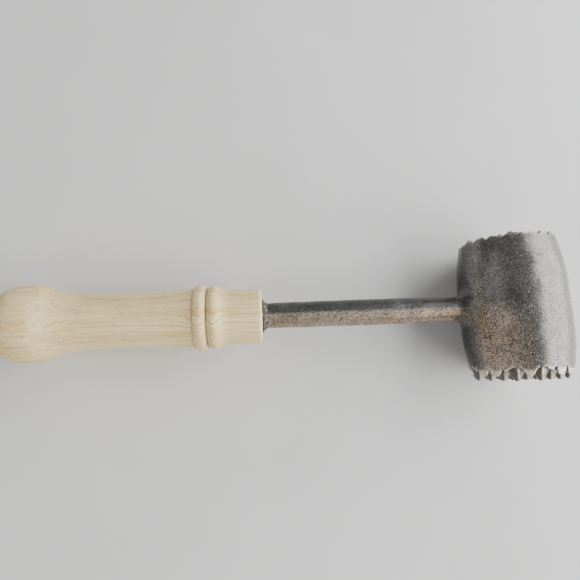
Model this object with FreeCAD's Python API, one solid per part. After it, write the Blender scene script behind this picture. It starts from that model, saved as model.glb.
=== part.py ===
"""Cast-iron meat mallet with a turned wooden handle, lying on its side. FreeCAD, millimetres.

Each piece is drawn square to the mallet's own axes: origin at the middle of the head, handle towards -X,
fine striking face towards +Y and coarse one towards -Y. lay_down() then puts it as the mallet rests on a flat
surface at Z = 0, on the edge of its head and the knob of its handle.
"""
import FreeCAD
import Part
import math
import os
from FreeCAD import Vector

# ---- driving dimensions ---------------------------------------------------------------------------------

# Head: a barrel, widest at the mould's parting line, which lies between the striking faces.
HEAD_RADIUS = 25.4
BAND_HALF = 8.0            # each side of the parting line the barrel is straight, so it lies steady
FINE_HALF = 31.4           # parting line to the roots of the fine teeth
FINE_RIM_RADIUS = 22.8     # at those roots
COARSE_HALF = 29.1
COARSE_RIM_RADIUS = 23.4

# Teeth: pyramids between two crossing sets of V grooves.
FINE_PITCH = 6.45
FINE_HEIGHT = 2.5
FINE_TIP = 0.9             # flat left on each tooth
FINE_SHIFT = (0.37, 0.45)  # nearest tooth to the head's axis, in pitches, each way of the grid
COARSE_PITCH = 6.8
COARSE_HEIGHT = 6.4
COARSE_TIP = 1.8
COARSE_SHIFT = (0.44, 0.44)
GRID_TURN = 24.0           # degrees, of the grooves about the head's axis from the handle's direction

# Shank and tang, in one piece with the head.
HANDLE_FACE = 125.0        # middle of the head to the front of the handle
SHANK_NECK_RADIUS = 6.05   # where it enters the handle
SHANK_SWELL_RADIUS = 6.35  # where it is thickest
SHANK_ROOT_RADIUS = 5.95   # next to the head
SHANK_SWELL_AT = 66.0
SHANK_ROOT_AT = 36.0
SHANK_FILLET = 5.5
SHOULDER_DEPTH = 4.0       # how far the round shank goes into the handle
TANG_LENGTH = 56.0         # square taper beyond the shoulder
TANG_ROOT_SIDE = 7.6
TANG_END_SIDE = 5.0

# Handle: distances along it are from the middle of the head, as for HANDLE_FACE.
COLLAR_RADIUS = 12.9
COLLAR_CORNER = 1.8
COLLAR_END = 139.5
FRONT_BEAD = (147.2, 15.35)      # distance and radius of its crown
BEAD_GROOVE = (150.3, 13.7)      # bottom of the V between the beads
BACK_BEAD = (153.3, 15.65)
BEAD_STEP = (156.2, 14.75)       # where the back bead ends in a small step
STEP_DEPTH = 0.45
WAIST = [(164.0, 13.2), (182.5, 12.57), (202.5, 12.8), (213.5, 13.72), (220.0, 15.4)]
KNOB_CROWN = (230.6, 18.0)
KNOB_CROWN_ARC = 30.0            # radius of the arc over the crown
KNOB_ARC_HALF = 3.6              # distance from the crown to each end of that arc
KNOB_BACK = [(240.6, 15.5), (244.6, 8.6)]
BUTT_END = 246.1
BORE_RADIUS = 7.0
BORE_DEPTH = 66.0
DRILL_TIP = 2.6

# Adhesive: fills the bore round the tang, and stands out of it round the shank.
SQUEEZE_RADIUS = 8.2
SQUEEZE_LIP = 1.0
SQUEEZE_LENGTH = 2.6

# ---- worked out -----------------------------------------------------------------------------------------

X_AXIS = Vector(1, 0, 0)
Y_AXIS = Vector(0, 1, 0)
ORIGIN = Vector(0, 0, 0)

# The handle drops until the arc over the knob's crown is level with the bottom of the head.
CROWN_CENTRE_RADIUS = KNOB_CROWN[1] - KNOB_CROWN_ARC
REST_TURN = math.asin(
    (HEAD_RADIUS - KNOB_CROWN_ARC) / math.hypot(KNOB_CROWN[0], CROWN_CENTRE_RADIUS)
) - math.atan2(CROWN_CENTRE_RADIUS, KNOB_CROWN[0])


def at(distance, radius):
    """A point of a profile about the handle's axis."""
    return Vector(-distance, radius, 0)


def line(a, b):
    return Part.LineSegment(a, b).toShape()


def arc(a, through, b):
    return Part.Arc(a, through, b).toShape()


def spline(points, start=None, end=None):
    curve = Part.BSplineCurve()
    if start is None:
        curve.interpolate(points)
    else:
        curve.interpolate(Points=points, InitialTangent=start, FinalTangent=end)
    return curve.toShape()


def revolved(edges, axis):
    return Part.Face(Part.Wire(edges)).revolve(ORIGIN, axis, 360)


def barrel_side(half, rim_radius, end):
    """Side of the barrel from the parting line, past the tooth roots at half, to end.
    end is negative on the coarse side."""
    drop = HEAD_RADIUS - rim_radius
    run = half - BAND_HALF
    radius = (run ** 2 + drop ** 2) / (2 * drop)
    side = 1 if end > 0 else -1

    def point(past_band):
        from_axis = HEAD_RADIUS - radius + math.sqrt(radius ** 2 - past_band ** 2)
        return Vector(from_axis, side * (BAND_HALF + past_band), 0)

    reach = abs(end) - BAND_HALF
    middle = Vector(HEAD_RADIUS, 0, 0)
    return [line(middle, point(0)), arc(point(0), point(reach / 2), point(reach))], point(reach)


def barrel():
    fine_top = FINE_HALF + FINE_HEIGHT
    coarse_top = COARSE_HALF + COARSE_HEIGHT
    fine_side, fine_corner = barrel_side(FINE_HALF, FINE_RIM_RADIUS, fine_top)
    coarse_side, coarse_corner = barrel_side(COARSE_HALF, COARSE_RIM_RADIUS, -coarse_top)
    ends = [
        line(fine_corner, Vector(0, fine_top, 0)),
        line(Vector(0, fine_top, 0), Vector(0, -coarse_top, 0)),
        line(Vector(0, -coarse_top, 0), coarse_corner),
    ]
    return revolved(Part.sortEdges(fine_side + coarse_side + ends)[0], Y_AXIS)


def groove_set(pitch, height, tip, shift, root, side):
    """V grooves in two directions across the striking face on the given side (+1 fine, -1 coarse)."""
    reach = HEAD_RADIUS + pitch
    past = 1.0
    half_width = (pitch - tip) / 2 * (height + past) / height
    bottom = Vector(-reach, side * root, 0)
    top = side * (root + height + past)
    triangle = Part.makePolygon([
        bottom,
        Vector(-reach, top, -half_width),
        Vector(-reach, top, half_width),
        bottom,
    ])
    groove = Part.Face(triangle).extrude(Vector(2 * reach, 0, 0))
    count = int(HEAD_RADIUS // pitch) + 1
    grooves = []
    for turn, first in ((GRID_TURN, shift[0]), (GRID_TURN - 90, shift[1])):
        for n in range(-count, count):
            one = groove.copy()
            one.translate(Vector(0, 0, (n + 0.5 + first) * pitch))
            one.rotate(ORIGIN, Y_AXIS, turn)
            grooves.append(one)
    return grooves


def shank():
    start = -HEAD_RADIUS / 2
    neck = at(HANDLE_FACE, SHANK_NECK_RADIUS)
    shoulder = at(HANDLE_FACE + SHOULDER_DEPTH, SHANK_NECK_RADIUS)
    root = at(SHANK_ROOT_AT, SHANK_ROOT_RADIUS)
    inner = Vector(start, SHANK_ROOT_RADIUS, 0)
    return revolved([
        line(Vector(shoulder.x, 0, 0), shoulder),
        line(shoulder, neck),
        arc(neck, at(SHANK_SWELL_AT, SHANK_SWELL_RADIUS), root),
        line(root, inner),
        line(inner, Vector(start, 0, 0)),
        line(Vector(start, 0, 0), Vector(shoulder.x, 0, 0)),
    ], X_AXIS)


def square_wire(x, side):
    h = side / 2
    corners = [Vector(x, y, z) for y, z in ((-h, -h), (h, -h), (h, h), (-h, h), (-h, -h))]
    return Part.makePolygon(corners)


def tang():
    root = -(HANDLE_FACE + SHOULDER_DEPTH)
    ends = [square_wire(root, TANG_ROOT_SIDE), square_wire(root - TANG_LENGTH, TANG_END_SIDE)]
    return Part.makeLoft(ends, True)


def junction_edges(solid):
    """Edges of the curve where the shank meets the barrel."""
    found = []
    for edge in solid.Edges:
        box = edge.BoundBox
        close = box.YMax < SHANK_ROOT_RADIUS + 0.1 and box.YMin > -SHANK_ROOT_RADIUS - 0.1
        if close and box.XMin > -HEAD_RADIUS - 0.1 and box.XMax < -HEAD_RADIUS / 2:
            found.append(edge)
    return found


def casting():
    body = barrel().fuse(shank())
    body = body.makeFillet(SHANK_FILLET, junction_edges(body))
    cutters = groove_set(FINE_PITCH, FINE_HEIGHT, FINE_TIP, FINE_SHIFT, FINE_HALF, 1)
    cutters += groove_set(COARSE_PITCH, COARSE_HEIGHT, COARSE_TIP, COARSE_SHIFT, COARSE_HALF, -1)
    body = body.cut(cutters)
    return body.fuse(tang()).Solids[0]


def handle():
    front = at(HANDLE_FACE, 0)
    corner_start = at(HANDLE_FACE, COLLAR_RADIUS - COLLAR_CORNER)
    corner_mid = at(
        HANDLE_FACE + COLLAR_CORNER * (1 - math.sqrt(0.5)),
        COLLAR_RADIUS - COLLAR_CORNER * (1 - math.sqrt(0.5)),
    )
    corner_end = at(HANDLE_FACE + COLLAR_CORNER, COLLAR_RADIUS)
    collar_end = at(COLLAR_END, COLLAR_RADIUS)
    groove = at(*BEAD_GROOVE)
    step_top = at(*BEAD_STEP)
    step_foot = at(BEAD_STEP[0], BEAD_STEP[1] - STEP_DEPTH)
    drop = KNOB_CROWN_ARC - math.sqrt(KNOB_CROWN_ARC ** 2 - KNOB_ARC_HALF ** 2)
    knob_start = at(KNOB_CROWN[0] - KNOB_ARC_HALF, KNOB_CROWN[1] - drop)
    knob_end = at(KNOB_CROWN[0] + KNOB_ARC_HALF, KNOB_CROWN[1] - drop)
    lean = KNOB_ARC_HALF / KNOB_CROWN_ARC
    waist = [step_foot] + [at(*p) for p in WAIST] + [knob_start]
    back = [knob_end] + [at(*p) for p in KNOB_BACK] + [at(BUTT_END, 0)]
    turned = revolved([
        line(front, corner_start),
        arc(corner_start, corner_mid, corner_end),
        line(corner_end, collar_end),
        spline([collar_end, at(143.6, 13.75), at(*FRONT_BEAD)], Vector(-1, 0, 0), Vector(-1, 0, 0)),
        spline([at(*FRONT_BEAD), groove], Vector(-1, 0, 0), Vector(-1, -0.9, 0)),
        spline([groove, at(*BACK_BEAD)], Vector(-1, 0.9, 0), Vector(-1, 0, 0)),
        spline([at(*BACK_BEAD), step_top], Vector(-1, 0, 0), Vector(-1, -0.6, 0)),
        line(step_top, step_foot),
        spline(waist, Vector(-1, -0.25, 0), Vector(-1, lean, 0)),
        arc(knob_start, at(*KNOB_CROWN), knob_end),
        spline(back, Vector(-1, -lean, 0), Vector(0, -1, 0)),
        line(at(BUTT_END, 0), front),
    ], X_AXIS)
    return turned.cut(bore())


def bore():
    drill = Part.makeCylinder(BORE_RADIUS, BORE_DEPTH, at(HANDLE_FACE, 0), Vector(-1, 0, 0))
    tip = Part.makeCone(BORE_RADIUS, 0, DRILL_TIP, at(HANDLE_FACE + BORE_DEPTH, 0), Vector(-1, 0, 0))
    return drill.fuse(tip).removeSplitter()


def adhesive(cast):
    front = HANDLE_FACE - SQUEEZE_LENGTH
    thin_edge = at(front, SHANK_NECK_RADIUS - 0.1)
    thick_edge = at(HANDLE_FACE, SQUEEZE_RADIUS)
    squeezed = revolved([
        line(at(HANDLE_FACE, 0), thick_edge),
        arc(thick_edge, at(HANDLE_FACE - SQUEEZE_LIP, SQUEEZE_RADIUS - 0.6), thin_edge),
        line(thin_edge, at(front, 0)),
        line(at(front, 0), at(HANDLE_FACE, 0)),
    ], X_AXIS)
    filled = bore().fuse(squeezed).cut(cast)
    return max(filled.Solids, key=lambda s: s.Volume)


def lay_down(shape, shift):
    placed = shape.copy()
    placed.rotate(ORIGIN, Y_AXIS, -math.degrees(REST_TURN))
    placed.translate(shift)
    return placed


def main():
    os.makedirs("parts", exist_ok=True)
    cast = casting()
    pieces = {"casting": cast, "handle": handle(), "adhesive": adhesive(cast)}
    turned = {name: lay_down(shape, ORIGIN) for name, shape in pieces.items()}
    boxes = [shape.optimalBoundingBox(False, False) for shape in turned.values()]
    middle = (max(b.XMax for b in boxes) + min(b.XMin for b in boxes)) / 2
    across = (max(b.YMax for b in boxes) + min(b.YMin for b in boxes)) / 2
    shift = Vector(-middle, -across, HEAD_RADIUS)
    for name, shape in turned.items():
        shape.translate(shift)
        box = shape.optimalBoundingBox(False, False)
        print(name, shape.isValid(), len(shape.Solids), round(shape.Volume, 1), box)
        shape.exportStep(os.path.join("parts", name + ".step"))
    print("shift", shift, "turn", math.degrees(REST_TURN))


main()
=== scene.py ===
"""Looks of the meat mallet: a worn iron casting, a raw wooden handle and the filler between them.

Each piece is modelled in millimetres in the mallet's own axes: origin at the middle of the head, the handle
running towards -X, the fine striking face towards +Y. in_frame puts them in the frame, in metres.
"""

import math

import bpy
import numpy as np
from mathutils import Euler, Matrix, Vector


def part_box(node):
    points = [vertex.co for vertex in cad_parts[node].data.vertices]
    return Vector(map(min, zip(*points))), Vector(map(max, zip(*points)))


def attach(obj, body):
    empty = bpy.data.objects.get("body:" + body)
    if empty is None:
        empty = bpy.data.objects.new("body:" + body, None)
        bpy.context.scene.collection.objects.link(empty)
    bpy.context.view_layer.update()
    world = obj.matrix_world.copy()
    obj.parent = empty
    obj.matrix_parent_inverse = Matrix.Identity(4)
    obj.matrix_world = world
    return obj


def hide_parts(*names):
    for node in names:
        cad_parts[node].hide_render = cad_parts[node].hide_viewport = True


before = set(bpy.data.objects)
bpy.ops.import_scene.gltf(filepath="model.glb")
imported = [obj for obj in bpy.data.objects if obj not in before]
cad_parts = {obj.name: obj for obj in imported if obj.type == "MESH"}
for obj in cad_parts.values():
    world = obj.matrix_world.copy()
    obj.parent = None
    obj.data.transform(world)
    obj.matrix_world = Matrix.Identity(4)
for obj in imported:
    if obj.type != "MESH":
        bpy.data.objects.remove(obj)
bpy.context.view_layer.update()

# ---- sizes, millimetres, in the mallet's axes ----------------------------------------------------------

MM = 0.001
BAND_HALF = 8.0            # each side of the parting line the barrel is straight
FINE_HALF = 31.4           # parting line to the roots of the fine teeth
FINE_RIM_RADIUS = 22.8     # of the barrel at those roots
COARSE_HALF = 29.1
COARSE_RIM_RADIUS = 23.4
FINE_PITCH = 6.45
FINE_HEIGHT = 2.5
FINE_TIP = 0.9             # flat left on each tooth
FINE_SHIFT = (0.37, 0.45)  # nearest tooth to the head's axis, in pitches, each way of the grid
COARSE_PITCH = 6.8
COARSE_HEIGHT = 6.4
COARSE_TIP = 1.8
COARSE_SHIFT = (0.44, 0.44)
GRID_TURN = math.radians(24.0)

HANDLE_FACE = 125.0        # middle of the head to the front of the handle
SHANK_NECK_RADIUS = 6.05   # where it enters the handle
SHANK_SWELL_RADIUS = 6.35  # where it is thickest
SHANK_ROOT_RADIUS = 5.95   # next to the head
SHANK_SWELL_AT = 66.0
SHANK_ROOT_AT = 36.0
SHANK_FILLET = 5.5
SHOULDER_DEPTH = 4.0       # how far the round shank goes into the handle
TANG_LENGTH = 56.0         # square taper beyond the shoulder
TANG_ROOT_SIDE = 7.6
TANG_END_SIDE = 5.0
BORE_RADIUS = 7.0
BORE_DEPTH = 66.0
KNOB_CROWN = (230.6, 18.0)       # distance from the middle of the head, and radius
KNOB_CROWN_ARC = 30.0            # radius of the arc over the crown

# ---- the mallet's own axes, worked out from the frame --------------------------------------------------

CAST_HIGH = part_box("casting")[1]
HEAD_RADIUS = CAST_HIGH[2] / MM / 2
HEAD_MIDDLE = (CAST_HIGH[0] / MM - HEAD_RADIUS, CAST_HIGH[1] / MM - FINE_HALF - FINE_HEIGHT, HEAD_RADIUS)
REST_TURN = math.asin(
    (HEAD_RADIUS - KNOB_CROWN_ARC) / math.hypot(KNOB_CROWN[0], KNOB_CROWN[1] - KNOB_CROWN_ARC)
) - math.atan2(KNOB_CROWN[1] - KNOB_CROWN_ARC, KNOB_CROWN[0])


def in_frame(points):
    """Points in the mallet's axes, in millimetres, as points of the frame, in metres."""
    x, y, z = np.asarray(points, dtype=np.float64).T
    c, s = math.cos(REST_TURN), math.sin(REST_TURN)
    return (np.stack([x * c - z * s, y, x * s + z * c], 1) + HEAD_MIDDLE) * MM


# ---- noise and small mesh helpers ----------------------------------------------------------------------


def lattice(ix, iy, iz, seed):
    """A fixed number between -1 and 1 for each point of a whole-number lattice."""
    h = (ix * 374761393 + iy * 668265263 + iz * 2147483647 + seed * 1274126177) & 0xFFFFFFFF
    h = ((h ^ (h >> 13)) * 1274126177) & 0xFFFFFFFF
    h = ((h ^ (h >> 16)) * 2246822519) & 0xFFFFFFFF
    h = h ^ (h >> 15)
    return h.astype(np.float64) / 2147483647.5 - 1


def noise(x, y, z, size, seed=0):
    """Smooth noise between about -1 and 1 whose lumps are about size across."""
    p = [np.asarray(c, dtype=np.float64) / size for c in np.broadcast_arrays(x, y, z)]
    cell = [np.floor(c).astype(np.int64) for c in p]
    t = [c - i for c, i in zip(p, cell)]
    t = [c * c * c * (c * (c * 6 - 15) + 10) for c in t]
    total = 0
    for dx in (0, 1):
        for dy in (0, 1):
            for dz in (0, 1):
                weight = (t[0] if dx else 1 - t[0]) * (t[1] if dy else 1 - t[1])
                weight = weight * (t[2] if dz else 1 - t[2])
                total = total + weight * lattice(cell[0] + dx, cell[1] + dy, cell[2] + dz, seed)
    return total


def smoothstep(low, high, value):
    t = np.clip((value - low) / (high - low), 0, 1)
    return t * t * (3 - 2 * t)


def smooth_max(a, b, k):
    h = np.clip(0.5 + 0.5 * (a - b) / k, 0, 1)
    return b + (a - b) * h + k * h * (1 - h)


def add_piece(name, points, faces, attributes=None):
    """A smooth mesh object, from points in millimetres in the mallet's axes."""
    mesh = bpy.data.meshes.new(name)
    mesh.from_pydata(in_frame(points).tolist(), [], [list(f) for f in faces])
    mesh.polygons.foreach_set("use_smooth", np.ones(len(mesh.polygons), dtype=bool))
    for key, values in (attributes or {}).items():
        layer = mesh.attributes.new(key, "FLOAT", "POINT")
        layer.data.foreach_set("value", np.asarray(values, dtype=np.float32))
    mesh.update()
    piece = bpy.data.objects.new(name, mesh)
    bpy.context.scene.collection.objects.link(piece)
    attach(piece, "root")
    return piece


def curve_through(points, start=None, end=None, step=0.45):
    """Points along a cubic spline through the given (distance, radius) points, with end tangents if given."""
    p = np.array(points, dtype=np.float64)
    chord = np.hypot(*np.diff(p, axis=0).T)
    t = np.concatenate([[0], np.cumsum(chord)])
    n = len(p)
    matrix = np.zeros((n, n))
    right = np.zeros((n, 2))
    for i in range(1, n - 1):
        before, after = chord[i - 1], chord[i]
        matrix[i, i - 1:i + 2] = after, 2 * (before + after), before
        right[i] = 3 * (after * (p[i] - p[i - 1]) / before + before * (p[i + 1] - p[i]) / after)
    for row, near, tangent, span in ((0, 1, start, p[1] - p[0]), (n - 1, n - 2, end, p[-1] - p[-2])):
        matrix[row, row] = 1
        if tangent is None:
            matrix[row, near] = 0.5
            right[row] = 1.5 * span / (chord[0] if row == 0 else chord[-1])
        else:
            right[row] = np.array(tangent) / math.hypot(*tangent)
    slope = np.linalg.solve(matrix, right)
    out = []
    for i in range(n - 1):
        count = max(2, int(math.ceil(chord[i] / step)))
        u = (np.arange(count) / count)[:, None]
        h = chord[i]
        out.append(
            (2 * u ** 3 - 3 * u ** 2 + 1) * p[i] + (u ** 3 - 2 * u ** 2 + u) * h * slope[i]
            + (3 * u ** 2 - 2 * u ** 3) * p[i + 1] + (u ** 3 - u ** 2) * h * slope[i + 1]
        )
    return np.concatenate(out + [p[-1:]])


def straight(a, b, step=0.5):
    count = max(2, int(math.ceil(math.hypot(b[0] - a[0], b[1] - a[1]) / step)) + 1)
    return np.linspace(a, b, count)


def outline(*runs):
    """Runs of profile points end to end, with no point twice."""
    points = np.concatenate(runs)
    keep = np.concatenate([[True], np.hypot(*np.diff(points, axis=0).T) > 1e-4])
    return points[keep]


def lathe(profile, around, shape):
    """Points and faces of a profile of (distance, radius) turned about the handle's axis.
    Its ends lie on that axis. shape(distance, radius, angle) gives the final distance and radius."""
    angle = np.linspace(0, 2 * math.pi, around, endpoint=False)
    d, a = np.meshgrid(profile[1:-1, 0], angle, indexing="ij")
    r = np.repeat(profile[1:-1, 1][:, None], around, axis=1)
    d, r = shape(d, r, a)
    rings = np.stack([-d, r * np.cos(a), r * np.sin(a)], -1)
    count = len(rings)
    ends = [[-profile[0, 0], 0, 0], [-profile[-1, 0], 0, 0]]
    points = np.concatenate([rings.reshape(-1, 3), ends])
    j = np.arange(around)
    k = (j + 1) % around
    base = (np.arange(count - 1) * around)[:, None]
    quads = np.stack([base + j, base + around + j, base + around + k, base + k], -1).reshape(-1, 4)
    last = (count - 1) * around
    first_fan = np.stack([np.full(around, count * around), j, k], -1)
    last_fan = np.stack([np.full(around, count * around + 1), last + k, last + j], -1)
    return points, quads.tolist() + first_fan.tolist() + last_fan.tolist()


def part_pinches(f):
    """Put single samples of f inside where the signs round a grid square alternate.
    Otherwise some edges of the surface would have four faces."""
    just_inside = -0.02
    low, high = slice(None, -1), slice(1, None)
    changed = True
    while changed:
        changed = False
        for a, b in ((0, 1), (1, 2), (0, 2)):
            corners = []
            for side_a, side_b in ((low, low), (high, high), (low, high), (high, low)):
                cut = [slice(None)] * 3
                cut[a], cut[b] = side_a, side_b
                corners.append(f[tuple(cut)])
            sign = [c < 0 for c in corners]
            alternate = (sign[0] == sign[1]) & (sign[2] == sign[3]) & (sign[0] != sign[2])
            for one in (0, 2):
                mask = alternate & ~sign[one]
                corners[one][mask] = just_inside
                changed = changed or bool(mask.any())


def net_points(f, axes, cells):
    """For each cell of the grid, the mean of the places where its edges cross the zero level of f."""
    total = np.zeros((len(cells), 3))
    hits = np.zeros(len(cells))
    for axis in range(3):
        others = [n for n in range(3) if n != axis]
        for da in (0, 1):
            for db in (0, 1):
                start = cells.copy()
                start[:, others[0]] += da
                start[:, others[1]] += db
                end = start.copy()
                end[:, axis] += 1
                fs = f[tuple(start.T)]
                fe = f[tuple(end.T)]
                cross = (fs < 0) != (fe < 0)
                t = np.where(cross, fs / np.where(cross, fs - fe, 1), 0)
                p = np.stack([axes[n][start[:, n]] for n in range(3)], 1)
                p[:, axis] += t * (axes[axis][end[:, axis]] - p[:, axis])
                total += p * cross[:, None]
                hits += cross
    return total / hits[:, None]


def net_quads(inside, index):
    """A quad for each grid edge that crosses the surface, between the points of the four cells round it."""
    quads = []
    for axis in range(3):
        b, c = [(1, 2), (2, 0), (0, 1)][axis]
        low = [slice(None)] * 3
        high = [slice(None)] * 3
        low[axis] = slice(0, -1)
        high[axis] = slice(1, None)
        found = np.argwhere(inside[tuple(low)] != inside[tuple(high)])
        within_b = (found[:, b] > 0) & (found[:, b] < inside.shape[b] - 1)
        within_c = (found[:, c] > 0) & (found[:, c] < inside.shape[c] - 1)
        found = found[within_b & within_c]
        outward = inside[tuple(found.T)]
        ring = []
        for ob, oc in ((-1, -1), (0, -1), (0, 0), (-1, 0)):
            cell = found.copy()
            cell[:, b] += ob
            cell[:, c] += oc
            ring.append(index[tuple(cell.T)])
        quad = np.stack(ring, 1)
        quad[~outward] = quad[~outward][:, ::-1]
        quads.append(quad)
    return np.concatenate(quads)


def surface(field, rough, xs, ys, zs, settle=4):
    """Quads over the zero level of field(x, y, z), negative inside, by surface nets on a rectilinear grid.
    rough gives a plainer field, and where the full one has to be worked out."""
    gx, gy, gz = np.meshgrid(xs, ys, zs, indexing="ij")
    f, near = rough(gx, gy, gz)
    f[near] = field(gx[near], gy[near], gz[near])
    part_pinches(f)
    inside = f < 0
    corner = np.zeros(tuple(n - 1 for n in f.shape), dtype=np.int8)
    for dx in (0, 1):
        for dy in (0, 1):
            for dz in (0, 1):
                corner += inside[dx:dx + corner.shape[0], dy:dy + corner.shape[1], dz:dz + corner.shape[2]]
    active = (corner > 0) & (corner < 8)
    cells = np.argwhere(active)
    index = np.full(active.shape, -1, dtype=np.int64)
    index[active] = np.arange(len(cells))
    points = net_points(f, (xs, ys, zs), cells)
    for _ in range(settle):
        points = points - step_to_surface(field, points)
    return points, net_quads(inside, index)


def gradient(field, p, h=0.05):
    """Slope of field(x, y, z) at the points p, from its values h to each side."""
    return np.stack([
        field(p[:, 0] + h, p[:, 1], p[:, 2]) - field(p[:, 0] - h, p[:, 1], p[:, 2]),
        field(p[:, 0], p[:, 1] + h, p[:, 2]) - field(p[:, 0], p[:, 1] - h, p[:, 2]),
        field(p[:, 0], p[:, 1], p[:, 2] + h) - field(p[:, 0], p[:, 1], p[:, 2] - h),
    ], 1) / (2 * h)


def step_to_surface(field, p):
    """One Newton step from the points p towards the zero level, held back where the field is flat."""
    least_slope_squared = 0.2
    longest = 0.12
    g = gradient(field, p)
    f = field(p[:, 0], p[:, 1], p[:, 2])
    size = np.maximum((g ** 2).sum(1), least_slope_squared)
    step = g * (f / size)[:, None]
    return np.clip(step, -longest, longest)


# ---- the casting ---------------------------------------------------------------------------------------

SKIN = 0.25                # the skin of the head is drawn this far inside the CAD surface, before its lumps
SHANK_SKIN = SKIN * 0.4
MOULD_MISMATCH = 0.09      # the half of the mould on the fine side sits this far towards the handle and up
HEAD_FLASH = 0.07          # height of the mould's flash on the head, by the handle
HEAD_FLASH_MORE = 0.09     # how much higher it is towards the front
SHANK_FLASH = 0.28
FLASH_HALF_WIDTH = 0.34
FLASH_WANDER = 0.25

GROOVE_WANDER = 0.16
GROOVE_ROUND = 0.25        # rounding of the bottom of each groove between teeth
TIP_LEAN = 0.12            # steepest slope of a tooth's flat tip, each way of the grid
TOOTH_BLEND = 0.08         # rounding of the edges of the teeth
CHIP_BLEND = 0.25
CHIP_SLANT = (0.6, 0.55)   # slope of a chipped corner, across the tooth and along it
CHIP_SET_IN = 0.5
CHIP_FLOOR = 0.45          # no chip goes below this share of the tooth's height
FINE_TEETH = {
    "pitch": FINE_PITCH, "height": FINE_HEIGHT, "tip_width": FINE_TIP, "shift": FINE_SHIFT,
    "half": FINE_HALF, "seed": 50, "wear": 0.15,
}
COARSE_TEETH = {
    "pitch": COARSE_PITCH, "height": COARSE_HEIGHT, "tip_width": COARSE_TIP, "shift": COARSE_SHIFT,
    "half": COARSE_HALF, "seed": 60, "wear": 0.2,
}


def barrel_radius(y):
    """Radius of the barrel at y: straight over its middle band, then an arc to each rim."""
    def side(half, rim):
        drop = HEAD_RADIUS - rim
        run = half - BAND_HALF
        arc = (run ** 2 + drop ** 2) / (2 * drop)
        past = np.clip(np.abs(y) - BAND_HALF, 0, None)
        return HEAD_RADIUS - arc + np.sqrt(arc ** 2 - past ** 2)

    return np.where(y > 0, side(FINE_HALF, FINE_RIM_RADIUS), side(COARSE_HALF, COARSE_RIM_RADIUS))


def toothed(x, y, z, pitch, height, tip_width, shift, half, seed, wear):
    """Distance to a face of pyramids whose roots lie at y = half, positive outside.
    Every tooth is a little different."""
    u = x * math.sin(GRID_TURN) + z * math.cos(GRID_TURN) - shift[0] * pitch
    v = z * math.sin(GRID_TURN) - x * math.cos(GRID_TURN) - shift[1] * pitch
    u = u + GROOVE_WANDER * noise(u, 0, v, pitch * 1.3, seed)
    v = v + GROOVE_WANDER * noise(u, 0, v, pitch * 1.3, seed + 1)
    iu = np.round(u / pitch).astype(np.int64)
    iv = np.round(v / pitch).astype(np.int64)
    zero = np.zeros_like(iu)
    from_u = pitch / 2 - np.abs(u - iu * pitch)
    from_v = pitch / 2 - np.abs(v - iv * pitch)
    slope = height / ((pitch - tip_width) / 2)
    square = 1 / math.sqrt(1 + slope ** 2)
    from_u = np.sqrt(from_u ** 2 + GROOVE_ROUND ** 2) - GROOVE_ROUND
    from_v = np.sqrt(from_v ** 2 + GROOVE_ROUND ** 2) - GROOVE_ROUND
    side_u = (y - half - slope * from_u) * square
    side_v = (y - half - slope * from_v) * square
    lean_u = TIP_LEAN * lattice(iu, iv, zero, seed + 3)
    lean_v = TIP_LEAN * lattice(iu, iv, zero, seed + 4)
    # Each tip is worn, and low enough for the high side of its lean to stay inside the CAD surface.
    worn = wear * (0.5 + 0.5 * lattice(iu, iv, zero, seed + 2))
    low = worn + (np.abs(lean_u) + np.abs(lean_v)) * tip_width / 2
    tip = y - (half + height - low) + lean_u * (u - iu * pitch) + lean_v * (v - iv * pitch)
    chipped = smoothstep(0.45, 0.8, lattice(iu, iv, zero, seed + 5))
    corner_u = np.sign(lattice(iu, iv, zero, seed + 6))
    corner_v = np.sign(lattice(iu, iv, zero, seed + 7))
    across = (corner_u * (u - iu * pitch) + corner_v * (v - iv * pitch)) * CHIP_SLANT[0]
    chip = across + CHIP_SLANT[1] * (y - half - height) + CHIP_SET_IN
    chip = np.minimum(chip, y - half - CHIP_FLOOR * height)
    tip = np.where(chipped > 0, smooth_max(tip, chip * chipped - (1 - chipped) * 3, CHIP_BLEND), tip)
    return smooth_max(smooth_max(side_u, side_v, TOOTH_BLEND), tip, TOOTH_BLEND)


def shank_radius(x):
    """Radius of the shank at x: thickest part way along, thinner at the head and at the handle."""
    d = -x
    swell = (d - SHANK_SWELL_AT) / (HANDLE_FACE - SHANK_SWELL_AT)
    to_neck = SHANK_SWELL_RADIUS - (SHANK_SWELL_RADIUS - SHANK_NECK_RADIUS) * swell ** 2
    root = np.clip((SHANK_SWELL_AT - d) / (SHANK_SWELL_AT - SHANK_ROOT_AT), 0, 1)
    to_root = SHANK_SWELL_RADIUS - (SHANK_SWELL_RADIUS - SHANK_ROOT_RADIUS) * root ** 2
    return np.where(d > SHANK_SWELL_AT, np.where(d > HANDLE_FACE, SHANK_NECK_RADIUS, to_neck), to_root)


def flash(x, y, z, reach):
    """Height of the ridge that the mould left along its parting line, broken up along its length."""
    line = y - FLASH_WANDER * noise(x, 0, z, 16, 40)
    ragged = 0.55 + 0.45 * noise(x, 0, z, 3.2, 41)
    return reach * ragged * np.exp(-(line / FLASH_HALF_WIDTH) ** 2)


def tang_field(x, y, z):
    """Distance to the square tapered tang, negative inside."""
    shoulder = -(HANDLE_FACE + SHOULDER_DEPTH)
    depth = np.clip((shoulder - x) / TANG_LENGTH, 0, 1)
    side = (TANG_ROOT_SIDE + (TANG_END_SIDE - TANG_ROOT_SIDE) * depth) / 2
    past_side = np.maximum(np.abs(y), np.abs(z)) - side
    past_end = np.abs(x - shoulder + TANG_LENGTH / 2) - TANG_LENGTH / 2
    return np.maximum(past_side, past_end)


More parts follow.
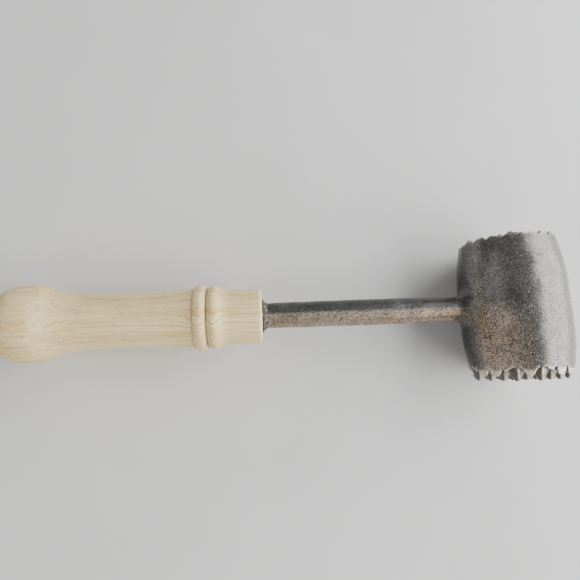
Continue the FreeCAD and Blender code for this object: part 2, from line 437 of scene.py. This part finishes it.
def casting_field(x, y, z):
    """Distance to the whole casting, negative inside: head and shank with their fillet, teeth and tang."""
    shift = MOULD_MISMATCH * smoothstep(-0.25, 0.25, y)
    head_flash = flash(x, y, z, HEAD_FLASH + HEAD_FLASH_MORE * smoothstep(-6, 2, x))
    head = np.hypot(x + shift, z - shift) - (barrel_radius(y) - SKIN) - head_flash
    rod = np.hypot(y, z - shift) - (shank_radius(x) - SHANK_SKIN) - flash(x, y, z, SHANK_FLASH)
    rod = np.maximum(rod, x)
    a = np.maximum(SHANK_FILLET - head, 0)
    b = np.maximum(SHANK_FILLET - rod, 0)
    body = np.maximum(SHANK_FILLET, np.minimum(head, rod)) - np.hypot(a, b)
    body = body - (0.07 * noise(x, y, z, 6.5, 10) + 0.035 * noise(x, y, z, 2.3, 11))
    body = smooth_max(body, toothed(x, y, z, **FINE_TEETH), TOOTH_BLEND)
    body = smooth_max(body, toothed(x, -y, z, **COARSE_TEETH), TOOTH_BLEND)
    body = np.maximum(body, -(HANDLE_FACE + SHOULDER_DEPTH) - x)
    return np.minimum(body, tang_field(x, y, z))


def spaced(low, high, step):
    """Even grid places from low to high, about step apart."""
    return np.linspace(low, high, max(2, int(round((high - low) / step)) + 1))


def joined(*runs):
    """Runs of grid places as one, in order, with no place twice."""
    return np.unique(np.round(np.concatenate(runs), 5))


def rough_casting(x, y, z):
    """The casting with plain end faces and no fillet, and where the real one may differ in sign from it."""
    head = np.maximum(np.hypot(x, z) - HEAD_RADIUS, np.abs(y) - COARSE_HALF - COARSE_HEIGHT)
    end = -(HANDLE_FACE + SHOULDER_DEPTH + TANG_LENGTH)
    rod = np.maximum(np.hypot(y, z) - SHANK_SWELL_RADIUS, np.maximum(x, end - x))
    plain = np.minimum(head, rod)
    near = (np.abs(plain) < 3.2) | ((np.abs(y) > COARSE_HALF - 2) & (plain < 2))
    return plain, near | ((x < -HANDLE_FACE) & (rod < 2))


def tooth_shade(points):
    """For each point, how far up the teeth it is, how much it stands out, and how much painted shade it gets.
    """
    y = points[:, 1]
    up = np.where(y > 0, (y - FINE_HALF) / FINE_HEIGHT, (-y - COARSE_HALF) / COARSE_HEIGHT)
    out = gradient(casting_field, points)
    out = out / np.maximum(np.linalg.norm(out, axis=1), 1e-6)[:, None]
    reach = 0.7
    above = points + out * reach
    below = points - out * reach
    bend = casting_field(*above.T) + casting_field(*below.T)
    # Painted shade between the teeth and on their flanks that face the handle, away from the light.
    inward = barrel_radius(y) - np.hypot(points[:, 0], points[:, 2])
    shade = 0.6 + 0.4 * smoothstep(0.95, 0.1, up)
    painted_shade_between = smoothstep(0.6, 2.0, inward) * shade * smoothstep(-0.3, -0.1, up)
    painted_lee_shade = smoothstep(0.25, 0.65, -out[:, 0]) * smoothstep(-0.02, 0.12, up) * smoothstep(0.1, 0.8, inward)
    return {
        "tooth": np.clip(up, -1, 1),
        "bend": np.clip(bend / reach, -1, 1),
        "painted_shade_between": np.maximum(painted_shade_between, 0.97 * painted_lee_shade),
    }


def make_casting():
    fine, plain = 0.5, 0.8
    margin = 1.5
    half_y = COARSE_HALF + COARSE_HEIGHT + margin
    shoulder = -(HANDLE_FACE + SHOULDER_DEPTH) - 1
    xs = joined(
        spaced(shoulder - TANG_LENGTH - 1, shoulder, 3.0),
        spaced(shoulder, -34, plain),
        spaced(-34, HEAD_RADIUS + margin, fine),
    )
    ys = joined(
        spaced(-half_y, -COARSE_HALF + 2, fine),
        spaced(-COARSE_HALF + 2, -9, plain),
        spaced(-9, 9, 0.4),
        spaced(9, FINE_HALF - 2, plain),
        spaced(FINE_HALF - 2, half_y, fine),
    )
    zs = spaced(-HEAD_RADIUS - margin, HEAD_RADIUS + margin, fine)
    points, quads = surface(casting_field, rough_casting, xs, ys, zs)
    piece = add_piece("Casting_Iron", points, quads, tooth_shade(points))
    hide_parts("casting")
    return piece


# ---- the handle ----------------------------------------------------------------------------------------

COLLAR_RADIUS = 12.9
COLLAR_CORNER = 1.8
COLLAR_END = 139.5
FRONT_BEAD = (147.2, 15.35)
BEAD_GROOVE = (150.3, 13.7)
BACK_BEAD = (153.3, 15.65)
BEAD_STEP = (156.2, 14.75)
STEP_DEPTH = 0.45
WAIST = [(164.0, 13.2), (182.5, 12.57), (202.5, 12.8), (213.5, 13.72), (220.0, 15.4)]
KNOB_ARC_HALF = 3.6
KNOB_BACK = [(240.6, 15.5), (244.6, 8.6)]
BUTT_END = 246.0


def handle_outline():
    """Profile of the handle, from the bottom of its bore out round the collar and back to the butt."""
    corner = np.linspace(math.pi / 2, 0, 7)
    rounded = np.stack([
        HANDLE_FACE + COLLAR_CORNER - COLLAR_CORNER * np.sin(corner),
        COLLAR_RADIUS - COLLAR_CORNER + COLLAR_CORNER * np.cos(corner),
    ], 1)
    half = KNOB_ARC_HALF / KNOB_CROWN_ARC
    over = np.linspace(-half, half, 18)
    crown = np.stack([
        KNOB_CROWN[0] + KNOB_CROWN_ARC * np.sin(over),
        KNOB_CROWN[1] - 0.06 - KNOB_CROWN_ARC * (1 - np.cos(over)),
    ], 1)
    foot = (BEAD_STEP[0], BEAD_STEP[1] - STEP_DEPTH)
    bottom = HANDLE_FACE + BORE_DEPTH
    return outline(
        straight((bottom, 0), (bottom, BORE_RADIUS), 2.0),
        straight((bottom, BORE_RADIUS), (HANDLE_FACE + 6, BORE_RADIUS), 6.0),
        straight((HANDLE_FACE + 6, BORE_RADIUS), (HANDLE_FACE, BORE_RADIUS), 0.8),
        straight((HANDLE_FACE, BORE_RADIUS), rounded[0], 0.5),
        rounded,
        straight(rounded[-1], (COLLAR_END, COLLAR_RADIUS)),
        curve_through([(COLLAR_END, COLLAR_RADIUS), (143.6, 13.75), FRONT_BEAD], (1, 0), (1, 0)),
        curve_through([FRONT_BEAD, BEAD_GROOVE], (1, 0), (1, -1.1), 0.25),
        curve_through([BEAD_GROOVE, BACK_BEAD], (1, 1.3), (1, 0), 0.25),
        curve_through([BACK_BEAD, BEAD_STEP], (1, 0), (1, -0.6), 0.3),
        straight(BEAD_STEP, foot, 0.25),
        curve_through([foot] + WAIST + [tuple(crown[0])], (1, -0.25), (1, half)),
        crown,
        curve_through([tuple(crown[-1])] + KNOB_BACK + [(BUTT_END, 0)], (1, -half), (0, -1)),
    )


def make_handle():
    skin = 0.1             # how far in the surface is drawn, to leave room for the raised fibres

    def turned(d, r, a):
        y, z = r * np.cos(a), r * np.sin(a)
        outside = smoothstep(BORE_RADIUS, BORE_RADIUS + 0.5, r)
        rings = 0.018 * noise(d, 0, 0, 0.55, 70) * smoothstep(0, 3, r)
        fibre = 0.035 * noise(d * 0.05, y, z, 0.75, 71) + 0.05 * noise(d * 0.12, y, z, 3.5, 72)
        oval = 0.05 * np.cos(2 * a + 0.6)
        return d, r + outside * (rings + fibre + oval - skin)

    points, faces = lathe(handle_outline(), 208, turned)
    distance = -points[:, 0]
    radius = np.hypot(points[:, 1], points[:, 2])
    # Painted shade in the bead groove, at the step, and in the crevice round the bore at the face.
    groove = np.exp(-((distance - BEAD_GROOVE[0]) / 0.32) ** 2)
    step = 0.25 * np.exp(-((distance - BEAD_STEP[0]) / 0.3) ** 2)
    rim = np.exp(-np.clip(radius - BORE_RADIUS - 1, 0, None) / 0.6) * (distance < HANDLE_FACE + 1)
    painted_hollow_shade = np.maximum(np.maximum(groove, step), rim)
    piece = add_piece("Handle_Turned_Wood", points, faces, {"painted_hollow_shade": painted_hollow_shade})
    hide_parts("handle")
    return piece


# ---- the adhesive --------------------------------------------------------------------------------------

SQUEEZE_RADIUS = 8.1
SQUEEZE_LENGTH = 2.6


def make_adhesive():
    inner = SHANK_NECK_RADIUS - 0.45
    tang_end = HANDLE_FACE + SHOULDER_DEPTH + TANG_LENGTH
    bottom = HANDLE_FACE + BORE_DEPTH - 0.3
    fill = BORE_RADIUS - 0.08
    lip = HANDLE_FACE - 0.12
    profile = outline(
        straight((tang_end + 1.5, 0), (tang_end + 1.5, TANG_END_SIDE * 0.75), 1.0),
        straight((tang_end + 1.5, TANG_END_SIDE * 0.75), (HANDLE_FACE, inner), 6.0),
        straight((HANDLE_FACE, inner), (HANDLE_FACE - SQUEEZE_LENGTH, inner), 0.5),
        curve_through([
            (HANDLE_FACE - SQUEEZE_LENGTH, inner),
            (HANDLE_FACE - 1.9, 6.4),
            (HANDLE_FACE - 1.1, 7.2),
            (HANDLE_FACE - 0.55, SQUEEZE_RADIUS),
            (lip, SQUEEZE_RADIUS - 0.35),
        ], (0, 1), (1, -0.6), 0.28),
        straight((lip, SQUEEZE_RADIUS - 0.35), (lip, fill), 0.4),
        straight((lip, fill), (bottom, fill), 6.0),
        straight((bottom, fill), (bottom, 0), 2.0),
    )

    def squeezed(d, r, a):
        out = smoothstep(inner + 0.2, inner + 1.5, r) * smoothstep(HANDLE_FACE + 0.4, HANDLE_FACE - 0.4, d)
        c, s = np.cos(a), np.sin(a)
        swell = 0.42 * noise(c * 7, s * 7, 0, 4.5, 80) + 0.2 * noise(c * 7, s * 7, d, 1.5, 81)
        creep = 0.4 * noise(c * 7, s * 7, 3, 3.4, 82)
        forward = smoothstep(HANDLE_FACE - 0.6, HANDLE_FACE - 2.2, d)
        return d + creep * forward, r + out * (swell - 0.1)

    points, faces = lathe(profile, 176, squeezed)
    piece = add_piece("Adhesive_Squeeze", points, faces)
    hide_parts("adhesive")
    return piece


# ---- materials -----------------------------------------------------------------------------------------


class Shader:
    """A material's node tree, with a short call for each kind of node used here.
    Sizes of noise and cells, and depths of bumps, are in millimetres, and all other lengths in metres."""

    def __init__(self, name):
        self.material = bpy.data.materials.new(name)
        self.material.use_nodes = True
        self.tree = self.material.node_tree
        self.tree.nodes.clear()
        out = self.tree.nodes.new("ShaderNodeOutputMaterial")
        self.surface = self.tree.nodes.new("ShaderNodeBsdfPrincipled")
        self.tree.links.new(self.surface.outputs["BSDF"], out.inputs["Surface"])
        turned = self.tree.nodes.new("ShaderNodeMapping")
        turned.vector_type = "TEXTURE"
        turned.inputs["Location"].default_value = Vector(HEAD_MIDDLE) * MM
        turned.inputs["Rotation"].default_value = (0, -REST_TURN, 0)
        self.put(turned.inputs["Vector"], self.tree.nodes.new("ShaderNodeTexCoord").outputs["Object"])
        self.place = turned.outputs["Vector"]

    def put(self, socket, value):
        if isinstance(value, bpy.types.NodeSocket):
            self.tree.links.new(value, socket)
        else:
            socket.default_value = value

    def stretched(self, x=1.0, y=1.0, z=1.0):
        node = self.tree.nodes.new("ShaderNodeMapping")
        self.put(node.inputs["Vector"], self.place)
        node.inputs["Scale"].default_value = (x, y, z)
        return node.outputs["Vector"]

    def noise(self, size, detail=4.0, rough=0.55, place=None, twist=0.0):
        node = self.tree.nodes.new("ShaderNodeTexNoise")
        self.put(node.inputs["Vector"], place or self.place)
        node.inputs["Scale"].default_value = 1 / (size * MM)
        node.inputs["Detail"].default_value = detail
        node.inputs["Roughness"].default_value = rough
        node.inputs["Distortion"].default_value = twist
        return node.outputs["Fac"]

    def cells(self, size, place=None):
        node = self.tree.nodes.new("ShaderNodeTexVoronoi")
        self.put(node.inputs["Vector"], place or self.place)
        node.inputs["Scale"].default_value = 1 / (size * MM)
        return node.outputs["Distance"]

    def math(self, kind, a, b=0.0):
        node = self.tree.nodes.new("ShaderNodeMath")
        node.operation = kind
        self.put(node.inputs[0], a)
        self.put(node.inputs[1], b)
        return node.outputs[0]

    def ramp(self, value, low, high, to_low=0.0, to_high=1.0):
        node = self.tree.nodes.new("ShaderNodeMapRange")
        node.interpolation_type = "SMOOTHSTEP"
        self.put(node.inputs["Value"], value)
        for key, number in (("From Min", low), ("From Max", high), ("To Min", to_low), ("To Max", to_high)):
            self.put(node.inputs[key], number)
        return node.outputs["Result"]

    def colours(self, value, stops):
        node = self.tree.nodes.new("ShaderNodeValToRGB")
        self.put(node.inputs["Fac"], value)
        marks = node.color_ramp.elements
        while len(marks) < len(stops):
            marks.new(0.5)
        for mark, (place, colour) in zip(marks, stops):
            mark.position = place
            mark.color = (*colour, 1)
        return node.outputs["Color"]

    def mix(self, amount, a, b, kind="MIX"):
        node = self.tree.nodes.new("ShaderNodeMix")
        node.data_type = "RGBA"
        node.blend_type = kind
        self.put(node.inputs["Factor"], amount)
        for socket, value in ((node.inputs["A"], a), (node.inputs["B"], b)):
            chosen = [i for i in node.inputs if i.name == socket.name and i.type == "RGBA"][0]
            self.put(chosen, value if isinstance(value, bpy.types.NodeSocket) else (*value, 1))
        return [o for o in node.outputs if o.type == "RGBA"][0]

    def attribute(self, name):
        node = self.tree.nodes.new("ShaderNodeAttribute")
        node.attribute_name = name
        return node.outputs["Fac"]

    def axis(self, letter):
        node = self.tree.nodes.new("ShaderNodeSeparateXYZ")
        self.put(node.inputs["Vector"], self.place)
        return node.outputs[letter]

    def bump(self, height, depth, under=None):
        node = self.tree.nodes.new("ShaderNodeBump")
        node.inputs["Strength"].default_value = 1.0
        node.inputs["Distance"].default_value = depth * MM
        self.put(node.inputs["Height"], height)
        if under is not None:
            self.put(node.inputs["Normal"], under)
        return node.outputs["Normal"]

    def finish(self, **inputs):
        for key, value in inputs.items():
            name = key.replace("_", " ")
            if isinstance(value, tuple) and name == "Base Color":
                value = (*value, 1)
            self.put(self.surface.inputs[name], value)
        return self.material


# Colours, on their own or as (place along the ramp, colour).
IRON_GREYS = [
    (0.4, (0.06, 0.058, 0.055)),
    (0.5, (0.15, 0.144, 0.136)),
    (0.6, (0.29, 0.28, 0.265)),
]
IRON_BROWNS = [
    (0.4, (0.06, 0.045, 0.033)),
    (0.5, (0.26, 0.197, 0.147)),
    (0.6, (0.55, 0.455, 0.37)),
]
BARE_IRON = [
    (0.36, (0.42, 0.32, 0.22)),
    (0.5, (0.78, 0.67, 0.54)),
    (0.64, (0.93, 0.87, 0.77)),
]
# Painted sheen on the side of the head that faces the window light.
PAINTED_SHEEN_GREY = (0.25, 0.243, 0.232)
ORANGE_RUST = (0.42, 0.26, 0.11)
# Painted shade and dark reflection.
PAINTED_SHADE_DARK = (0.022, 0.022, 0.025)
FLECK = (0.75, 0.66, 0.55)
# Dark of the pits, also used as painted shade between the teeth.
PIT_AND_HOLLOW_SHADE = (0.02, 0.016, 0.013)
# Worn bare edges, also a painted highlight along them.
WORN_EDGE_AND_HIGHLIGHT = (0.72, 0.65, 0.56)
PALE_WOOD = [
    (0.37, (0.62, 0.4, 0.15)),
    (0.49, (0.87, 0.66, 0.3)),
    (0.62, (0.94, 0.79, 0.43)),
]
LATE_WOOD = (0.5, 0.31, 0.14)
BLOTCH = (0.86, 0.72, 0.47)
PORE = (0.26, 0.14, 0.06)
HAIR = (0.38, 0.23, 0.09)
# Painted shade in the handle's grooves and crevice.
WOOD_GROOVE_SHADE = (0.1, 0.06, 0.03)
FILLER_GREYS = [
    (0.4, (0.015, 0.015, 0.014)),
    (0.52, (0.055, 0.054, 0.048)),
    (0.64, (0.25, 0.245, 0.225)),
]
FLOOR_GREYS = [
    (0.3, (0.72, 0.72, 0.715)),
    (0.7, (0.76, 0.76, 0.755)),
]

PAST_HEAD = (-24 * MM, -28 * MM)             # where the shank's own colours come in
PITH = (34 * MM, 46 * MM)                    # how far it lies from the handle's axis, towards -Y and -Z
RING_STEP = 2.1 * MM                         # from one growth ring to the next


def rusty_zone(s, y, around, past_head):
    """Rust below the parting line, on the lower side of the shank and the part of the head next to it.
    around is the angle about the head's axis: 0 at its top, negative towards the handle."""
    wander = s.math("MULTIPLY", s.math("SUBTRACT", s.noise(11.0, 4.0), 0.5), 16 * MM)
    slant = s.ramp(around, -0.65, -0.1, 0.0, 10 * MM)
    edge = s.math("ADD", y, s.math("ADD", wander, slant))
    on_head = s.ramp(edge, 2.5 * MM, -5 * MM)
    to_front = s.ramp(around, 0.0, -0.7, 0.12, 1.0)
    to_shank = s.ramp(around, -1.4, -1.0, 0.15, 1.0)
    on_head = s.math("MULTIPLY", on_head, s.math("MULTIPLY", to_front, to_shank))
    on_shank = s.math("MULTIPLY", s.ramp(y, 0.3 * MM, -0.6 * MM), past_head)
    rusty = s.math("MAXIMUM", on_head, on_shank)
    return s.math("MULTIPLY", rusty, s.ramp(s.noise(5.0, 5.0, 0.6), 0.3, 0.55, 0.5, 1.0))


def painted_shade_zone(s, x, y, around, past_head):
    """Painted shade and dark reflection on the head's flank by the shank, in a cloud over its parting line,
    and on the shank.
    """
    flank = s.math("MULTIPLY", s.ramp(around, -1.1, -1.55), s.ramp(around, -3.0, -2.1))
    flank = s.math("MULTIPLY", flank, s.ramp(x, -34 * MM, -27 * MM))
    cloud = s.math("MULTIPLY", s.ramp(around, -0.15, -0.5), s.ramp(around, -0.95, -0.65))
    near_line = s.math("MULTIPLY", s.ramp(y, 12 * MM, 4 * MM), s.ramp(y, -7 * MM, 1 * MM))
    cloud = s.math("MULTIPLY", cloud, near_line)
    shank_side = s.math("MULTIPLY", s.ramp(y, 0.1 * MM, 1 * MM), past_head)
    painted_darkness = s.math("MAXIMUM", s.math("MULTIPLY", flank, 0.95), s.math("MULTIPLY", cloud, 0.35))
    painted_darkness = s.math("MAXIMUM", painted_darkness, s.math("MULTIPLY", shank_side, 0.76))
    return s.math("MULTIPLY", painted_darkness, s.ramp(s.noise(9.0, 5.0, 0.6), 0.3, 0.6, 0.6, 0.95))


def worn_teeth(s, colour, y):
    """The colour with bare iron on the teeth, most of all on the coarse face, and painted shade between them.
    Also gives how worn each place is."""
    up = s.attribute("tooth")
    bend = s.attribute("bend")
    coarse_face = s.ramp(y, 0.0, -10 * MM, 0.3, 1.0)
    worn = s.math("MULTIPLY", s.ramp(up, 0.0, 0.35, 0.0, 0.95), coarse_face)
    colour = s.mix(worn, colour, s.colours(s.noise(1.6, 6.0, 0.65), BARE_IRON))
    # Painted shade in the notches and deeper hollows between the teeth, in the dark colour of the pits.
    painted_notch_shade = s.math("MULTIPLY", s.ramp(bend, -0.16, -0.5), s.ramp(up, -0.2, 0.0, 0.3, 0.9))
    painted_hollow_shade = s.math("MAXIMUM", painted_notch_shade, s.attribute("painted_shade_between"))
    colour = s.mix(s.math("MULTIPLY", painted_hollow_shade, 0.93), colour, PIT_AND_HOLLOW_SHADE)
    # Convex edges lightened: worn bare iron, with a painted highlight along them.
    edge = s.math("MULTIPLY", s.ramp(bend, 0.2, 0.6), 0.45)
    return s.mix(edge, colour, WORN_EDGE_AND_HIGHLIGHT), worn


def iron_material():
    s = Shader("Worn_Cast_Iron")
    x, y, z = s.axis("X"), s.axis("Y"), s.axis("Z")
    around = s.math("ARCTAN2", x, z)
    past_head = s.ramp(x, *PAST_HEAD)
    mottle = s.noise(8.0, 8.0, 0.65)
    speckle = s.noise(0.62, 4.0, 0.7)
    both = s.math("ADD", s.math("MULTIPLY", mottle, 0.22), s.math("MULTIPLY", speckle, 0.78))
    # Painted sheen: lighter grey over the top of the head and its side towards the window light.
    painted_sheen = s.math("MULTIPLY", s.ramp(around, -0.45, 0.0), s.ramp(around, 2.6, 1.8))
    grey = s.mix(s.math("MULTIPLY", painted_sheen, 0.28), s.colours(both, IRON_GREYS), PAINTED_SHEEN_GREY)
    rusty = rusty_zone(s, y, around, past_head)
    colour = s.mix(rusty, grey, s.colours(both, IRON_BROWNS))
    patch = s.math("MULTIPLY", s.ramp(s.noise(6.0, 6.0, 0.7), 0.5, 0.62), rusty)
    patch = s.math("MULTIPLY", patch, s.ramp(x, -28 * MM, -32 * MM, 0.03, 0.6))
    colour = s.mix(patch, colour, ORANGE_RUST)
    # Painted shade and dark reflection, darkest on the head's flank that faces the handle.
    colour = s.mix(painted_shade_zone(s, x, y, around, past_head), colour, PAINTED_SHADE_DARK)
    flecks = s.math("MULTIPLY", s.ramp(s.cells(0.95), 0.3, 0.16), s.ramp(s.noise(2.4, 4.0, 0.6), 0.47, 0.56))
    colour = s.mix(s.math("MULTIPLY", flecks, s.ramp(rusty, 0.2, 0.9, 0.2, 0.75)), colour, FLECK)
    pit = s.math("SUBTRACT", 1.0, s.ramp(s.cells(1.25), 0.17, 0.3))
    pit = s.math("MULTIPLY", pit, s.ramp(s.noise(7.0, 4.0), 0.43, 0.54))
    pit = s.math("MULTIPLY", pit, s.ramp(x, 3 * MM, -12 * MM, 0.45, 1.0))
    colour = s.mix(s.math("MULTIPLY", pit, 0.75), colour, PIT_AND_HOLLOW_SHADE)
    colour, worn = worn_teeth(s, colour, y)
    rough = s.ramp(s.noise(1.4, 6.0, 0.65), 0.3, 0.7, 0.14, 0.3)
    rough = s.math("ADD", rough, s.math("MULTIPLY", past_head, 0.2))
    normal = s.bump(s.math("SUBTRACT", 0.0, pit), 0.25, s.bump(speckle, 0.05))
    metal = s.math("SUBTRACT", 0.55, s.math("MULTIPLY", worn, 0.35))
    return s.finish(Base_Color=colour, Roughness=rough, Normal=normal, Metallic=metal)


def growth_rings(s, along):
    """The dark late wood of rings round a pith outside the handle.
    They run along the handle, and slant where it flares."""
    from_y = s.math("ADD", s.axis("Y"), PITH[0])
    from_z = s.math("ADD", s.axis("Z"), PITH[1])
    squares = s.math("ADD", s.math("MULTIPLY", from_y, from_y), s.math("MULTIPLY", from_z, from_z))
    reach = s.math("POWER", squares, 0.5)
    wobble = s.math("MULTIPLY", s.noise(9.0, 3.0, 0.5, s.stretched(0.12, 1.0, 1.0)), 4.2 * MM)
    turns = s.math("MULTIPLY", s.math("ADD", reach, wobble), 2 * math.pi / RING_STEP)
    rings = s.math("ADD", s.math("MULTIPLY", s.math("SINE", turns), 0.5), 0.5)
    strength = s.ramp(s.noise(12.0, 3.0, 0.5, along), 0.35, 0.65, 0.12, 0.55)
    return s.math("MULTIPLY", s.ramp(rings, 0.7, 0.99), strength)


def wood_material():
    s = Shader("Raw_Pale_Wood")
    along = s.stretched(0.07, 1.0, 1.0)
    streak = s.stretched(0.02, 1.0, 1.0)
    bands = s.noise(5.0, 5.0, 0.6, along, 0.6)
    fibre = s.noise(0.6, 4.0, 0.65, streak)
    both = s.math("ADD", s.math("MULTIPLY", bands, 0.45), s.math("MULTIPLY", fibre, 0.55))
    colour = s.mix(growth_rings(s, along), s.colours(both, PALE_WOOD), LATE_WOOD)
    blotch = s.ramp(s.noise(30.0, 3.0), 0.35, 0.65)
    colour = s.mix(s.math("MULTIPLY", blotch, 0.35), colour, BLOTCH)
    dashes = s.cells(1.0, s.stretched(0.13, 1.0, 1.0))
    pore = s.math("MULTIPLY", s.ramp(dashes, 0.22, 0.12), s.ramp(s.noise(4.0, 3.0, 0.6, along), 0.46, 0.6))
    colour = s.mix(s.math("MULTIPLY", pore, 0.6), colour, PORE)
    hairs = s.cells(0.62, s.stretched(0.08, 1.0, 1.0))
    hair = s.math("MULTIPLY", s.ramp(hairs, 0.27, 0.15), s.ramp(s.noise(7.0, 4.0, 0.6, along), 0.45, 0.56))
    colour = s.mix(s.math("MULTIPLY", hair, 0.7), colour, HAIR)
    # Painted shade in the grooves and the crevice.
    colour = s.mix(s.math("MULTIPLY", s.attribute("painted_hollow_shade"), 0.8), colour, WOOD_GROOVE_SHADE)
    rough = s.ramp(fibre, 0.3, 0.7, 0.5, 0.7)
    normal = s.bump(s.math("SUBTRACT", 0.0, pore), 0.15, s.bump(fibre, 0.08))
    return s.finish(Base_Color=colour, Roughness=rough, Normal=normal)


def filler_material():
    s = Shader("Grey_Filler")
    colour = s.colours(s.noise(1.3, 6.0, 0.65), FILLER_GREYS)
    rough = s.ramp(s.noise(1.5, 4.0), 0.35, 0.65, 0.5, 0.7)
    normal = s.bump(s.noise(0.7, 4.0), 0.12)
    return s.finish(Base_Color=colour, Roughness=rough, Normal=normal)


def floor_material():
    s = Shader("Pale_Floor")
    return s.finish(Base_Color=s.colours(s.noise(60.0, 3.0), FLOOR_GREYS), Roughness=0.85)


# ---- floor, light and camera ---------------------------------------------------------------------------


# Lights, in metres and watts. Each X is from the middle of the head; a size is (across, upwards).
WORLD_STRENGTH = 0.25
WINDOW_AT = (0.59, 0.0, 0.41)
WINDOW_SIZE = (1.7, 0.84)
WINDOW_POWER = 25.0
FILL_AT = (-0.8, -0.35, 0.5)
FILL_SIZE = (2.2, 0.9)
FILL_POWER = 4.4
FILL_COLOUR = (1.0, 0.98, 0.95)

FLOOR_HALF = 2.0                             # metres
SENSOR_WIDTH = 36                            # of the camera, millimetres
FOCAL = SENSOR_WIDTH * 450 / 580             # millimetres: this share of the picture's width
CAMERA_FROM_HEAD = (-134.33, -23.16, 210.67)             # millimetres from the middle of the head
CAMERA_TURN = (9.5535, -5.8066, -2.4614)                 # degrees


def add_floor():
    half = FLOOR_HALF
    corners = [(-half, -half, 0), (half, -half, 0), (half, half, 0), (-half, half, 0)]
    mesh = bpy.data.meshes.new("Floor")
    mesh.from_pydata(corners, [], [(0, 1, 2, 3)])
    floor = bpy.data.objects.new("Floor", mesh)
    bpy.context.scene.collection.objects.link(floor)
    floor.data.materials.append(floor_material())


def add_area(name, place, target, size, power, colour=(1, 1, 1)):
    light = bpy.data.lights.new(name, "AREA")
    light.shape = "RECTANGLE"
    light.size, light.size_y = size
    light.energy = power
    light.color = colour
    holder = bpy.data.objects.new(name, light)
    bpy.context.scene.collection.objects.link(holder)
    away = Vector(place) - Vector(target)
    holder.rotation_euler = away.to_track_quat("Z", "Y").to_euler()
    holder.location = place


def add_light():
    world = bpy.data.worlds.new("Studio")
    bpy.context.scene.world = world
    world.use_nodes = True
    back = world.node_tree.nodes["Background"]
    back.inputs["Color"].default_value = (1.0, 1.0, 1.0, 1)
    back.inputs["Strength"].default_value = WORLD_STRENGTH
    head = in_frame([(0, 0, 0)])[0]
    window = (head[0] + WINDOW_AT[0], WINDOW_AT[1], WINDOW_AT[2])
    add_area("Window", window, head, WINDOW_SIZE, WINDOW_POWER)
    fill = (head[0] + FILL_AT[0], FILL_AT[1], FILL_AT[2])
    add_area("Fill", fill, (0, 0, 0), FILL_SIZE, FILL_POWER, FILL_COLOUR)


def add_camera():
    lens = bpy.data.cameras.new("Camera")
    lens.sensor_width = SENSOR_WIDTH
    lens.lens = FOCAL
    lens.clip_start = 0.01
    camera = bpy.data.objects.new("Camera", lens)
    bpy.context.scene.collection.objects.link(camera)
    camera.location = (Vector(HEAD_MIDDLE) + Vector(CAMERA_FROM_HEAD)) * MM
    camera.rotation_euler = Euler([math.radians(t) for t in CAMERA_TURN])
    bpy.context.scene.camera = camera


def main():
    make_casting().data.materials.append(iron_material())
    make_handle().data.materials.append(wood_material())
    make_adhesive().data.materials.append(filler_material())
    add_floor()
    add_light()
    add_camera()


main()
